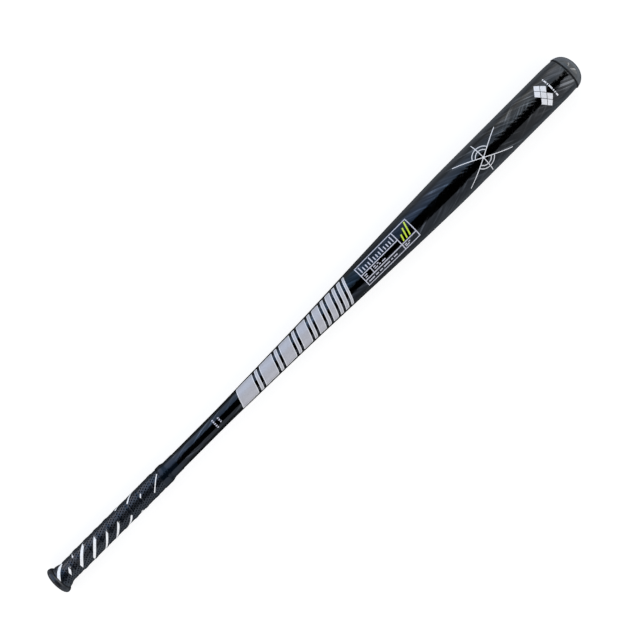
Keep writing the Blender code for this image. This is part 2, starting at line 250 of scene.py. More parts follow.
def gripFinish():
    finish, place = newFinish("perforatedGripLeather")
    grain = noise(place, 1500.0, 3.0, 0.6)
    tone = mixColours(spread(noise(place, 45.0, 3.0), 0.3, 0.7), *gripLook["tones"])
    # printed slashes: each face corner says how far it lies from its nearest one, in half widths
    side, past = [addNode("Attribute", {}, "Fac", finish.node_tree, attribute_name=name)
                  for name in ("slashSide", "slashEnd")]
    past = calc("MAXIMUM", past, 0.0)
    apart = calc("SQRT", calc("ADD", times(side, side), times(past, past)))
    worn = spread(noise(place, 900.0, 2.0), 0.25, 0.45, 0.75, 1.0)
    ink = times(spread(apart, 0.94, 1.06, 1.0, 0.0), worn)
    return dress(finish, {
        "Specular IOR Level": gripLook["specular"],
        "Base Color": mixColours(ink, tone, gripLook["ink"]),
        "Roughness": spread(grain, 0.3, 0.7, *gripLook["roughness"]),
        "Normal": bump(grain, gripLook["grainDepth"]),
    })


# painted shade: the innermost walls and the floor of each hole are painted nearly black
def paintedHoleShadeFinish():
    finish, place = newFinish("gripHolePaintedShade")
    colour = mixColours(noise(place, 800.0), (0.0006, 0.0006, 0.0008), (0.0014, 0.0014, 0.0018))
    return dress(finish, {"Base Color": colour, "Roughness": 0.8, "Specular IOR Level": 0.05})


def bandFinish():
    finish, place = newFinish("stretchedBlackVinyl")
    around, along = woundPlace(finish.node_tree)
    # stretch lines run round the bat
    lines = patches(along, 900.0, around, 3.0, detail=2.0)
    return dress(finish, {
        "Base Color": mixColours(noise(place, 70.0), (0.0008, 0.0026, 0.0052), (0.0016, 0.0040, 0.0078)),
        "Roughness": spread(lines, 0.3, 0.7, 0.08, 0.15),
        "Normal": bump(lines, 0.00002),
    })


def inkFinish(name, colour):
    finish, place = newFinish(name)
    dull = tuple(channel * 0.86 for channel in colour)
    return dress(finish, {
        "Roughness": 0.45,
        **clearCoat,
        "Coat Roughness": 0.035,
        "Base Color": mixColours(spread(noise(place, 700.0, 3.0, 0.6), 0.3, 0.6), dull, colour),
        "Coat Normal": bump(noise(place, 180.0), 0.00002),
    })


def turnedBrassFinish():
    finish, place = newFinish("turnedBrass")
    marks = addNode("TexWave", {"Vector": place, "Scale": 900.0, "Distortion": 0.6}, "Fac",
                    bands_direction="X")
    tarnish = noise(place, 160.0, 3.0)
    return dress(finish, {
        "Metallic": 1.0,
        "Base Color": mixColours(tarnish, (0.42, 0.29, 0.10), (0.66, 0.48, 0.19)),
        "Roughness": spread(tarnish, 0.3, 0.7, 0.25, 0.42),
        "Normal": bump(marks, 0.00002),
    })


def foamFinish():
    finish, place = newFinish("closedCellFoam")
    cells = addNode("TexVoronoi", {"Vector": place, "Scale": 700.0}, "Distance")
    return dress(finish, {
        "Roughness": 0.9,
        "Specular IOR Level": 0.2,
        "Base Color": mixColours(cells, (0.44, 0.34, 0.14), (0.66, 0.56, 0.28)),
        "Normal": bump(cells, 0.0003),
    })


carbon = carbonFinish()
knobRubber = mouldedFinish("knobRubber", (0.0100, 0.0104, 0.0125), 0.18, 0.0011, 0.00005, 0.6)
capPlastic = mouldedFinish("capPlastic", (0.052, 0.055, 0.058), 0.10, 0.0009, 0.000006)
sealRubber = mouldedFinish("sealRubber", (0.0150, 0.0150, 0.0160), 0.60, 0.0008, 0.00003, 0.2)
gripLeather = gripFinish()
paintedHoleShade = paintedHoleShadeFinish()
bandVinyl = bandFinish()
silverInk = inkFinish("silverInk", (0.48, 0.475, 0.51))
whiteInk = inkFinish("whiteInk", (0.80, 0.80, 0.82))
greyInk = inkFinish("paleGreyInk", (0.60, 0.60, 0.68))
neonInk = inkFinish("neonYellowInk", (0.60, 0.78, 0.03))
print("finishes: %d" % len(bpy.data.materials))


# pieces

sharpAngle = radians(38.0)


def addObject(name, body, finishes):
    mesh = bpy.data.meshes.new(name)
    body.to_mesh(mesh)
    body.free()
    for finish in finishes:
        mesh.materials.append(finish)
    added = bpy.data.objects.new(name, mesh)
    bpy.context.scene.collection.objects.link(added)
    return added


def addPiece(name, body, finishes, nodes=()):
    piece = addObject(name, body, finishes)
    piece.data.shade_smooth()
    piece.data.set_sharp_from_angle(angle=sharpAngle)
    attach(piece, "root")
    if nodes:
        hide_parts(*nodes)
    print("piece: %s, %d faces" % (name, len(piece.data.polygons)))


def turnProfile(profile, segments=128, closed=False):
    # turns (x, radius) points round the bat; the turn starts underneath
    body = bmesh.new()
    wound = body.loops.layers.uv.new("wound")
    rings = []
    for x, radius in profile:
        count = segments if radius else 1
        angles = [pi + tau * step / segments for step in range(count)]
        rings.append([body.verts.new(onBat(x, angle, radius)) for angle in angles])
    pairs = list(zip(rings, rings[1:]))
    if closed:
        pairs.append((rings[-1], rings[0]))
    for first, second in pairs:
        for step in range(segments):
            after = (step + 1) % segments
            corners = []
            for ring, order in ((first, (step, after)), (second, (after, step))):
                if len(ring) == 1:
                    corners.append((ring[0], step + 0.5))
                    continue
                for index in order:
                    corners.append((ring[index], step + 1 if index == after else step))
            face = body.faces.new([corner for corner, turn in corners])
            for loop, (corner, turn) in zip(face.loops, corners):
                loop[wound].uv = (turn / segments, corner.co.x)
    bmesh.ops.recalc_face_normals(body, faces=body.faces)
    return body


tube = {
    "start": 0.0237, "end": 0.9603,
    "stations": [(0.300, 0.0125), (0.371, 0.01385), (0.483, 0.0166),
                 (0.590, 0.0207), (0.690, 0.0242), (0.758, 0.02565)],
    "drawLength": 0.023, "drawDepth": 0.00105, "handleWall": 0.0034, "barrelWall": 0.0032,
    "seatRadius": 0.0213, "seatLength": 0.026, "rimRound": 0.00025, "rimMiddle": 0.3,
    "segments": 192,
}


def tubeRadius(x):
    stations = tube["stations"]
    (first, handle), (last, barrel) = stations[0], stations[-1]
    if x <= first:
        return handle
    if x >= last:
        share = max(0.0, 1.0 - (tube["end"] - x) / tube["drawLength"])
        return barrel - tube["drawDepth"] * share * share
    runs = [(b[1] - a[1]) / (b[0] - a[0]) for a, b in zip(stations, stations[1:])]
    slopes = [0.0] + [2.0 * a * b / (a + b) for a, b in zip(runs, runs[1:])] + [0.0]
    index = max(i for i in range(len(stations) - 1) if x >= stations[i][0])
    (start, low), (end, high) = stations[index], stations[index + 1]
    length = end - start
    t = (x - start) / length
    lead = t * (1.0 - t) * (1.0 - t) * length * slopes[index]
    trail = t * t * (t - 1.0) * length * slopes[index + 1]
    return low + (high - low) * smooth(t) + lead + trail


def makeTube():
    start, end, edge = tube["start"], tube["end"], tube["rimRound"]
    eased = edge * tube["rimMiddle"]
    (first, handle), (last, barrel) = tube["stations"][0], tube["stations"][-1]
    tip = tubeRadius(end)
    drawStart = end - tube["drawLength"]
    profile = [(end, tip - edge), (end - eased, tip - eased), (end - edge, tip)]
    places = spaced(end, drawStart, 12, 1) + spaced(drawStart, last, 6, 1)
    places += spaced(last, first, 72, 1) + spaced(first, start, 8, 1)
    profile += [(x, tubeRadius(x)) for x in places]
    # the bore, and the cap's seat
    profile.append((start, handle - tube["handleWall"]))
    for x in spaced(first, last, 24):
        wall = between(tube["handleWall"], tube["barrelWall"], (x - first) / (last - first))
        profile.append((x, tubeRadius(x) - wall))
    bore, seatRadius = barrel - tube["barrelWall"], tube["seatRadius"]
    seat = end - tube["seatLength"]
    profile += [(seat - (bore - seatRadius), bore), (seat, seatRadius), (end, seatRadius)]
    body = turnProfile(profile, tube["segments"], closed=True)
    addPiece("carbonTube", body, [carbon], ["bat_tube"])


makeTube()

knob = {
    "radius": 0.0202, "faceRadius": 0.0126, "backRadius": 0.0161, "frontRound": 0.0039,
    "width": 0.0094, "flareRoot": 0.0154, "flareLength": 0.014, "flareCurve": 1.8,
    "spigotRadius": 0.0088, "spigotEnd": 0.0614, "spigotLead": 0.0012, "pocketRadius": 0.0051,
    "pocketFloor": 0.0331,
}


def flareRadius(x):
    share = min(1.0, max(0.0, (x - knob["width"]) / knob["flareLength"]))
    handle = tubeRadius(0.0)
    return handle + (knob["flareRoot"] - handle) * (1.0 - share) ** knob["flareCurve"]


def makeKnob():
    front, width, radius = knob["frontRound"], knob["width"], knob["radius"]
    spigot, lead, spigotEnd = knob["spigotRadius"], knob["spigotLead"], knob["spigotEnd"]
    flareEnd = width + knob["flareLength"]
    profile = [
        (knob["pocketFloor"], 0.0),
        (knob["pocketFloor"], knob["pocketRadius"]),
        (spigotEnd, knob["pocketRadius"]),
        (spigotEnd, spigot - lead),
        (spigotEnd - lead, spigot),
        (flareEnd, spigot),
    ]
    profile += [(x, flareRadius(x)) for x in spaced(flareEnd, width, 14)]
    quarter = spaced(0.0, pi / 2.0, 12)
    for angle in quarter:
        profile.append((front + (width - front) * cos(angle),
                        between(knob["backRadius"], radius, sin(angle))))
    for angle in quarter[1:]:
        profile.append((front * (1.0 - sin(angle)),
                        between(knob["faceRadius"], radius, cos(angle))))
    profile.append((0.0, 0.0))
    addPiece("mouldedKnob", turnProfile(profile), [knobRubber], ["knob"])


makeKnob()

grip = {
    # where the lower edge of each turn crosses the top of the bat; the list starts at turn -5
    "seams": [-0.0150, -0.0050, 0.0045, 0.0246, 0.0293, 0.0425, 0.0620, 0.0812,
              0.0988, 0.1185, 0.1389, 0.1598, 0.1801, 0.2005, 0.2204, 0.2404],
    "seamZero": 5, "pitch": 0.0197, "sway": 0.0020, "swayEnd": 0.160, "swayFade": 0.04,
    "width": 0.0246, "overlap": 0.0049, "start": 0.0097, "end": 0.2070, "startLift": 0.0004,
    "startLiftEnd": 0.0213, "startLiftFade": 0.004, "startRoll": 0.00145,
    "startRollFrom": 0.0105, "startRollRun": 0.0080, "thickness": 0.00172, "edgeShare": 0.20,
    "skive": 0.0048, "bridge": 0.0016, "lapGap": 0.00007, "clearance": 0.00008,
    "pressedFrom": 0.1893, "pressRun": 0.0045, "pressed": 0.70, "startPressed": 0.76,
    "startPressEnd": 0.0370, "firstTurn": -3.72, "firstFade": 0.05, "columnsPerTurn": 40,
    "columns": 478, "rows": 8, "rowPitch": 0.00290, "firstRow": 0.0018, "holeRadius": 0.00112,
    # the rims of a hole: share of its radius, and depth
    "rims": ((1.0, 0.00004), (0.90, 0.00022), (0.86, 0.0008)),
    "holeMargins": (0.0022, 0.0020), "printMargin": 0.6, "edgeRound": 0.00012,
    "underLines": (0.018, 0.012, 0.0064, 0.0048, 0.0035, 0.0), "unrolledTurn": 0.0898,
    "mergeDistance": 0.000002, "coveredLines": (0.33, 0.66),
}


def seamAt(turn):
    # the winding was done by hand, so its pitch wanders, and it leans less on the side that was seen
    seams = grip["seams"]
    place = turn + grip["seamZero"]
    index = min(len(seams) - 3, max(1, floor(place)))
    t = place - index
    a, b, c, d = seams[index - 1:index + 3]
    square, cube = 2.0 * a - 5.0 * b + 4.0 * c - d, 3.0 * b - a - 3.0 * c + d
    x = 0.5 * (2.0 * b + (c - a) * t + square * t * t + cube * t ** 3)
    return x - grip["sway"] * sin(tau * turn) * smooth((grip["swayEnd"] - x) / grip["swayFade"])


def upperEdge(turn):
    # the first turns lie close together, so the tape was cut narrower for them
    return min(seamAt(turn) + grip["width"], seamAt(turn + 1.0) + grip["overlap"])


def layerAt(turn, x):
    # one thickness of tape, thinned towards both edges
    low = max(seamAt(turn), grip["start"])
    high = min(upperEdge(turn), grip["end"])
    rise = smooth(max(0.0, min(x - low, high - x)) / grip["skive"])
    return grip["thickness"] * between(grip["edgeShare"], 1.0, rise)


def layerBelow(turn, x):
    before = turn - 1.0
    started = smooth((before - grip["firstTurn"]) / grip["firstFade"])
    if started == 0.0:
        return 0.0
    inside = upperEdge(before) - x
    if inside >= 0.0:
        return (layerAt(before, x) + grip["lapGap"]) * started
    edge = grip["thickness"] * grip["edgeShare"] + grip["lapGap"]
    return edge * smooth(1.0 + inside / grip["bridge"]) * started


def gripRadii(turn, x):
    base = max(flareRadius(x), tubeRadius(x)) + grip["clearance"]
    side = sin(tau * turn)
    base += grip["startLift"] * (1.0 + side) * smooth((grip["startLiftEnd"] - x) / grip["startLiftFade"])
    # the first turn is rolled over itself on the -Y side
    roll = 1.0 - smooth((x - grip["startRollFrom"]) / grip["startRollRun"])
    base += grip["startRoll"] * (0.5 - 0.5 * side) * roll
    press = between(1.0, grip["pressed"], smooth((x - grip["pressedFrom"]) / grip["pressRun"]))
    press *= between(grip["startPressed"], 1.0, smooth((x - grip["startPressEnd"]) / grip["pressRun"]))
    base += layerBelow(turn, x) * press
    return base, base + layerAt(turn, x) * press


slashes = [
    # turn, x where its middle line crosses the top, rise in x for each turn,
    # from and to as shares of a turn, width
    (-3, 0.0093, 0.074, -0.075, 0.230, 0.0039),
    (-2, 0.0284, 0.072, -0.175, 0.040, 0.0033),
    (-1, 0.0390, 0.030, 0.100, 0.200, 0.0024),
    (0, 0.0508, 0.089, -0.140, 0.185, 0.0040),
    (1, 0.0752, 0.090, -0.200, 0.100, 0.0038),
    (2, 0.0985, 0.088, -0.270, 0.045, 0.0029),
    (3, 0.1198, 0.091, -0.330, 0.002, 0.0029),
    (4, 0.1451, 0.093, -0.400, -0.082, 0.0026),
    (5, 0.1686, 0.093, -0.460, -0.182, 0.0032),
    (6, 0.1920, 0.096, -0.500, -0.225, 0.0026),
    (4, 0.1102, 0.086, 0.165, 0.260, 0.0020),
    (5, 0.1350, 0.094, 0.090, 0.250, 0.0022),
    (6, 0.1613, 0.084, 0.006, 0.054, 0.0015),
    (7, 0.1891, 0.104, -0.090, 0.098, 0.0013),
]


def slashLines():
    # each slash on the unrolled strip: its middle, its direction, half its width and half its length
    lines = []
    for whole, crossing, rise, low, high, width in slashes:
        start, end = [Vector(((whole + share) * grip["unrolledTurn"], crossing + rise * share))
                      for share in (low, high)]
        run = end - start
        lines.append(((start + end) / 2.0, run.normalized(), width / 2.0, run.length / 2.0 - width / 2.0))
    return lines


def slashPlace(line, turn, x):
    # how far a point lies beside a slash and beyond its end, in half widths
    middle, direction, half, reach = line
    offset = Vector((turn * grip["unrolledTurn"], x)) - middle
    side = offset.x * direction.y - offset.y * direction.x
    return side / half, (abs(offset.dot(direction)) - reach) / half


def makeGrip():
    body = bmesh.new()
    columns, rows, width = grip["columns"], grip["rows"], grip["width"]
    unrolled, pitch = grip["unrolledTurn"], grip["pitch"]
    shear = pitch / unrolled ** 2
    # positions across the tape, from its lower edge, in half rows
    rowLines = [grip["firstRow"] + grip["rowPitch"] * (index - 1) / 2.0 for index in range(2 * rows + 1)]
    printedLines = slashLines()
    places, wound, holes = {}, {}, set()

    def face(*corners):
        return body.faces.new(corners)

    def place(column, across):
        # lines across the tape stand square to its edges
        turn = grip["firstTurn"] + column / grip["columnsPerTurn"]
        return turn - across * shear, min(seamAt(turn) + across, upperEdge(turn))

    def addVert(turn, x, side, depth=0.0):
        inner, outer = gripRadii(turn, x)
        vert = body.verts.new(onBat(x, tau * turn, inner if side == "inner" else outer - depth))
        wound[vert] = (turn, x)
        return vert

    def vertAt(column, across, side="outer"):
        key = (column, round(across, 6), side)
        if key not in places:
            turn, x = place(column, across)
            places[key] = addVert(turn, min(grip["end"], max(grip["start"], x)), side)
        return places[key]

    def nearestSlash(turn, x):
        def apart(line):
            side, past = slashPlace(line, turn, x)
            return line[2] * hypot(side, max(0.0, past))

        nearest = min(printedLines, key=apart)
        return nearest, apart(nearest) - nearest[2]

    def brick(column, row):
        # one hole with its share of the tape, or plain tape where the print and the edges are
        low, mid, high = rowLines[2 * row:2 * row + 3]
        left, right = max(0, column - 1), min(columns, column + 1)
        ring = [(left, low), (column, low), (right, low), (right, mid),
                (right, high), (column, high), (left, high), (left, mid)]
        if right - left < 2:
            ring = ring[1:6] if left == column else ring[5:] + ring[:2]
            face(*[vertAt(*corner) for corner in ring])
            return
        outline = [vertAt(*corner) for corner in ring]
        turn, x = place(column, mid)
        below, above = grip["holeMargins"]
        fits = grip["start"] + below < x < min(grip["end"], upperEdge(turn)) - above
        if not fits or nearestSlash(turn, x)[1] < grip["holeRadius"] * grip["printMargin"]:
            centre = vertAt(column, mid)
            for corner in (0, 2, 4, 6):
                face(centre, outline[corner - 1], outline[corner], outline[corner + 1])
            return
        rims = [outline]
        for size, depth in grip["rims"]:
            rim = []
            for index in range(8):
                angle = radians(45.0 * index - 135.0)
                radius = grip["holeRadius"] * size
                step = radius * cos(angle) / unrolled
                rim.append(addVert(turn + step, x + radius * sin(angle) + step * pitch, "outer", depth))
            rims.append(rim)
        for index in range(8):
            after = (index + 1) % 8
            for first, second in zip(rims, rims[1:]):
                wall = face(first[index], first[after], second[after], second[index])
            holes.add(wall)
        holes.add(face(*rims[-1]))

    for row in range(rows):
        for column in range(columns + 1):
            if (column + row) % 2 == 0:
                brick(column, row)
    # plain strips: the rounded lower edge, then the part that the next turn covers and the underside
    top = rowLines[-1]
    lower = [(0.0, "inner"), (grip["edgeRound"], "outer"), (rowLines[0], "outer")]
    covered = [between(top, width, share) for share in grip["coveredLines"]]
    upper = [(across, "outer") for across in (top, *covered, width)]
    upper += [(across, "inner") for across in (width, *grip["underLines"])]
    for lines in (lower, upper):
        for first, second in zip(lines, lines[1:]):
            for column in range(columns):
                face(vertAt(column, *first), vertAt(column + 1, *first),
                     vertAt(column + 1, *second), vertAt(column, *second))
    # the two cut ends
    for column, turnOver in ((0, False), (columns, True)):
        section = lower[1:]
        for row in range(rows):
            if (column + row) % 2:
                section.append((rowLines[2 * row + 1], "outer"))
            section.append((rowLines[2 * row + 2], "outer"))
        outline = [vertAt(column, *line) for line in section + upper[1:]]
        face(*(outline if turnOver else outline[::-1]))

    # each corner's distance from the nearest printed slash
    sideLayer = body.loops.layers.float.new("slashSide")
    endLayer = body.loops.layers.float.new("slashEnd")
    for made in body.faces:
        # the faces inside the holes take the painted shade finish
        made.material_index = int(made in holes)
        spots = [wound[vert] for vert in made.verts]
        middle = [sum(values) / len(spots) for values in zip(*spots)]
        nearest = nearestSlash(*middle)[0]
        for loop in made.loops:
            loop[sideLayer], loop[endLayer] = slashPlace(nearest, *wound[loop.vert])
    # rows that the trimmed ends squash flat are merged away
    bmesh.ops.remove_doubles(body, verts=body.verts, dist=grip["mergeDistance"])
    bmesh.ops.dissolve_degenerate(body, edges=body.edges, dist=grip["mergeDistance"])
    bmesh.ops.recalc_face_normals(body, faces=body.faces)
    addPiece("gripTape", body, [gripLeather, paintedHoleShade], ["grip_tape"])


makeGrip()

band = {
    "start": 0.1977, "edge": 0.0003, "slant": 0.0044, "secondSlant": 0.0028, "end": 0.2287,
    "thickness": 0.00033, "overGrip": 0.01422, "onTube": 0.01258, "stepFrom": 0.2070,
    "stepLength": 0.0075, "edgeDrop": 0.3,
}


def makeBand():
    def radiusAt(x):
        return between(band["overGrip"], band["onTube"], smooth((x - band["stepFrom"]) / band["stepLength"]))

    start, thick = band["start"], band["thickness"]
    edge, stepEnd = start + band["edge"], band["stepFrom"] + band["stepLength"]
    stations = [start, edge] + spaced(edge, band["stepFrom"], 4, 1)
    stations += spaced(band["stepFrom"], stepEnd, 12, 1) + spaced(stepEnd, band["end"], 4, 1)
    outer = [(x, radiusAt(x) + thick) for x in stations]
    outer[0] = (start, outer[0][1] - thick * band["edgeDrop"])
    inner = [(x, radiusAt(x)) for x in stations[::-1]]
    body = turnProfile(outer + inner, closed=True)
    for vert in body.verts:
        if vert.co.x < edge + band["edge"] / 2.0:
            angle = atan2(vert.co.y, vert.co.z)
            vert.co.x += band["slant"] * sin(angle) + band["secondSlant"] * cos(angle)
    addPiece("finishingBandWrap", body, [bandVinyl], ["finishing_band"])


makeBand()

seal = {"start": 0.9606, "thickness": 0.0009, "outer": 0.02565, "inner": 0.0213, "round": 0.0002}


def makeSeal():
    start, outer, inner, edge = seal["start"], seal["outer"], seal["inner"], seal["round"]
    end = start + seal["thickness"]
    profile = [(end, inner), (end, outer - edge), (end - edge, outer),
               (start + edge, outer), (start, outer - edge), (start, inner)]
    addPiece("capSealRing", turnProfile(profile, closed=True), [sealRubber], ["cap_seal_ring"])


makeSeal()

cap = {
    "tip": 0.9795, "base": 0.9618, "domeRadius": 0.0258, "domeDepth": 0.0230, "fullness": 2.3,
    "wall": 0.0035, "rimRound": 0.0003, "spigotRadius": 0.0210, "spigotWall": 0.0026,
    "spigotLength": 0.024, "spigotTop": 0.9603, "shoulder": 0.0018, "ribs": 3,
    "ribWidth": 0.0018, "ribHeight": 0.0007, "ribPitch": 0.0060, "segments": 160,
}


def domePoint(angle, radius, depth):
    # a dome fuller than an ellipse; the angle runs from its base to its tip
    power = 2.0 / cap["fullness"]
    across = radius * max(0.0, cos(angle)) ** power
    return cap["tip"] - cap["domeDepth"] + depth * sin(angle) ** power, across


def makeCap():
    tip, base, edge, fullness = cap["tip"], cap["base"], cap["rimRound"], cap["fullness"]
    spigot, spigotTop, wall = cap["spigotRadius"], cap["spigotTop"], cap["wall"]
    reach = base + edge - (tip - cap["domeDepth"])
    baseAngle = asin((reach / cap["domeDepth"]) ** (fullness / 2.0))
    profile = [(tip, 0.0)]
    for angle in spaced(pi / 2.0, baseAngle, 32, 1):
        profile.append(domePoint(angle, cap["domeRadius"], cap["domeDepth"]))
    rim = profile[-1][1]
    for angle in spaced(0.0, pi / 2.0, 5, 1):
        profile.append((base + edge * (1.0 - sin(angle)), rim - edge * (1.0 - cos(angle))))
    profile += [(base, spigot), (spigotTop - cap["shoulder"], spigot)]
    core = spigot - cap["ribHeight"]
    for index in range(cap["ribs"]):
        crest = spigotTop - cap["ribPitch"] * (index + 1)
        profile += [(crest + cap["ribWidth"], core), (crest, spigot), (crest - cap["ribHeight"], core)]
    foot, hollow = base - cap["spigotLength"], core - cap["spigotWall"]
    profile += [(foot, core), (foot, hollow)]
    innerRadius, innerDepth = cap["domeRadius"] - wall, cap["domeDepth"] - wall
    mouthAngle = acos((hollow / innerRadius) ** (fullness / 2.0))
    for angle in spaced(mouthAngle, pi / 2.0, 12)[:-1]:
        profile.append(domePoint(angle, innerRadius, innerDepth))
    profile.append((tip - wall, 0.0))
    addPiece("domedCap", turnProfile(profile, cap["segments"]), [capPlastic], ["end_cap"])


makeCap()

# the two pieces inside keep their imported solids
for node, finish in (("balance_weight", turnedBrassFinish()), ("barrel_foam", foamFinish())):
    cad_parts[node].data.materials.clear()
    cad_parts[node].data.materials.append(finish)
print("inner pieces dressed")


# printed film: outlines of (x, arc) points, laid on the tube
film = {
    "lift": 0.00002, "thickness": 0.00004, "layer": 0.00008, "arcStep": 0.0009, "xStep": 0.006,
    # how near a point counts as lying on a cut, and the most of a side that a rounded corner takes
    "onCut": 0.000001, "cornerShare": 0.45,
}


def makeFilm(name, outlines, ink, layer=0):
    body = bmesh.new()
    for outline in outlines:
        body.faces.new([body.verts.new((x, arc, 0.0)) for x, arc in outline])
    for axis, step in ((0, film["xStep"]), (1, film["arcStep"])):
        places = [vert.co[axis] for vert in body.verts]
        cut = floor(min(places) / step) + 1
        while cut * step < max(places):
            point, normal = Vector((0.0, 0.0, 0.0)), Vector((0.0, 0.0, 0.0))
            point[axis], normal[axis] = cut * step, 1.0
            geometry = body.verts[:] + body.edges[:] + body.faces[:]
            bmesh.ops.bisect_plane(body, geom=geometry, dist=film["onCut"], plane_co=point,
                                   plane_no=normal)
            cut += 1
    raised = bmesh.ops.extrude_face_region(body, geom=body.faces[:])
    for item in raised["geom"]:
        if isinstance(item, bmesh.types.BMVert):
            item.co.z = film["thickness"]
    lift = film["lift"] + layer * film["layer"]
    for vert in body.verts:
        x, arc, height = vert.co
        radius = tubeRadius(x)
        vert.co = onBat(x, arc / radius, radius + lift + height)
    bmesh.ops.recalc_face_normals(body, faces=body.faces)
    addPiece(name, body, [ink])


def rounded(corners, radius, steps=3):
    # a convex outline with its corners rounded
    outline = []
    count = len(corners)
    for index in range(count):
        corner = Vector(corners[index])
        before = Vector(corners[index - 1]) - corner
        after = Vector(corners[(index + 1) % count]) - corner
        cut = min(radius, film["cornerShare"] * min(before.length, after.length))
        start, end = corner + before.normalized() * cut, corner + after.normalized() * cut
        for step in range(steps + 1):
            t = step / steps
            point = start * (1 - t) ** 2 + corner * 2 * t * (1 - t) + end * t ** 2
            outline.append((point.x, point.y))
    return outline


def box(left, low, right, high):
    return [(left, low), (right, low), (right, high), (left, high)]


def leaningBar(x, half, slant, low, high):
    lean = slant * (high - low) / 2.0
    return [(x - half - lean, low), (x + half - lean, low), (x + half + lean, high), (x - half + lean, high)]


def stroke(start, end, width):
    start, end = Vector(start), Vector(end)
    side = (end - start).normalized().orthogonal() * width / 2.0
    return [tuple(start + side), tuple(end + side), tuple(end - side), tuple(start - side)]


def arcBand(centre, radius, width, fromAngle, toAngle, steps):
    outlines = []
    angles = spaced(fromAngle, toAngle, steps)
    for first, second in zip(angles, angles[1:]):
        quad = []
        for turn, size in ((first, -1), (second, -1), (second, 1), (first, 1)):
            reach = radius + size * width / 2.0
            quad.append((centre[0] + reach * cos(turn), centre[1] + reach * sin(turn)))
        outlines.append(quad)
    return outlines


shaftBars = {
    "from": 0.3471,
    "widths": [0.030, 0.005, 0.024, 0.005, 0.020, 0.005, 0.016, 0.005,
               0.012, 0.005, 0.009, 0.005, 0.006, 0.004],
    "gap": 0.0042, "slant": 0.34, "halfAngle": 1.10, "border": 0.0011, "corner": 0.0012,
    "leastHalf": 0.0008, "cornerLoss": 0.6,
}


def makeShaftBars():
    whites, silvers = [], []
    x = shaftBars["from"]
    for width in shaftBars["widths"]:
        x += width / 2.0
        reach = shaftBars["halfAngle"] * tubeRadius(x)
        for inset, target in ((0.0, whites), (shaftBars["border"], silvers)):
            half, high = width / 2.0 - inset, reach - inset
            if half < shaftBars["leastHalf"]:
                continue
            corners = leaningBar(x, half, shaftBars["slant"], -high, high)
            target.append(rounded(corners, shaftBars["corner"] - inset * shaftBars["cornerLoss"]))
        x += width / 2.0 + shaftBars["gap"]
    makeFilm("shaftBarBorders", whites, whiteInk)
    makeFilm("shaftBarFaces", silvers, silverInk, 1)


makeShaftBars()

sightMark = {
    "centre": (0.8014, -0.0024),
    "armAngle": radians(27.2),
    "armLength": 0.0440, "crossLength": 0.0255, "rings": (0.0107, 0.0153), "width": 0.0011,
    "hub": 0.00207, "armFoot": 0.00234, "gap": 0.0002,
}


def makeSightMark():
    x, arc = sightMark["centre"]
    width, foot, lean = sightMark["width"], sightMark["armFoot"], sightMark["armAngle"]
    upright = pi / 2.0
    arms = [(turn, sightMark["armLength"]) for turn in (lean, -lean, pi - lean, pi + lean)]
    arms += [(turn, sightMark["crossLength"]) for turn in (upright, -upright)]

    def away(turn, reach):
        return x + reach * cos(turn), arc + reach * sin(turn)

    outlines = [stroke(away(turn, foot), away(turn, length), width) for turn, length in arms]
    outlines.append([away(tau * k / 12, sightMark["hub"]) for k in range(12)])
    for radius in sightMark["rings"]:
        clear = (width / 2.0 + sightMark["gap"]) / radius
        for side in (1.0, -1.0):
            for low, high in ((lean, upright), (upright, pi - lean)):
                outlines += arcBand((x, arc), radius, width, side * (low + clear), side * (high - clear), 10)
    makeFilm("sightMark", outlines, whiteInk)


makeSightMark()

panel = {
    "from": 0.5761, "to": 0.6713, "low": -0.0175, "high": 0.0154, "line": 0.0013,
    "gap": 0.00015, "neonFrom": 0.6438, "shelf": -0.0085, "upperShelf": 0.0004, "post": 0.5925,
    "ticks": 13, "tickFoot": 0.0032, "tickHeights": (0.0094, 0.0054), "tickWidth": 0.0016,
    "tickMargins": (0.0055, 0.0045), "tallEvery": 4,
    # rows of short dashes: where each starts, its middle line, its height and its dashes
    "dashRows": [
        (0.5800, -0.0019, 0.0013, (0.005,)),
        (0.5800, -0.0046, 0.0013, (0.004,)),
        (0.5965, -0.0019, 0.0013, (0.004, 0.003)),
        (0.5965, -0.0046, 0.0013, (0.006, 0.003, 0.006)),
        (0.5800, -0.0122, 0.0016, (0.010, 0.005, 0.005, 0.011, 0.003, 0.006)),
        (0.6470, -0.0110, 0.0012, (0.004, 0.003)),
        (0.6470, -0.0134, 0.0012, (0.007,)),
    ],
    "dashGap": 0.0024, "neonTops": (0.0030, 0.0080, 0.0130), "neonFoot": -0.0059,
    "neonHalf": 0.0011, "neonMargins": (0.0075, 0.0070), "neonSlant": 0.30,
    "neonCorner": 0.0005,
}


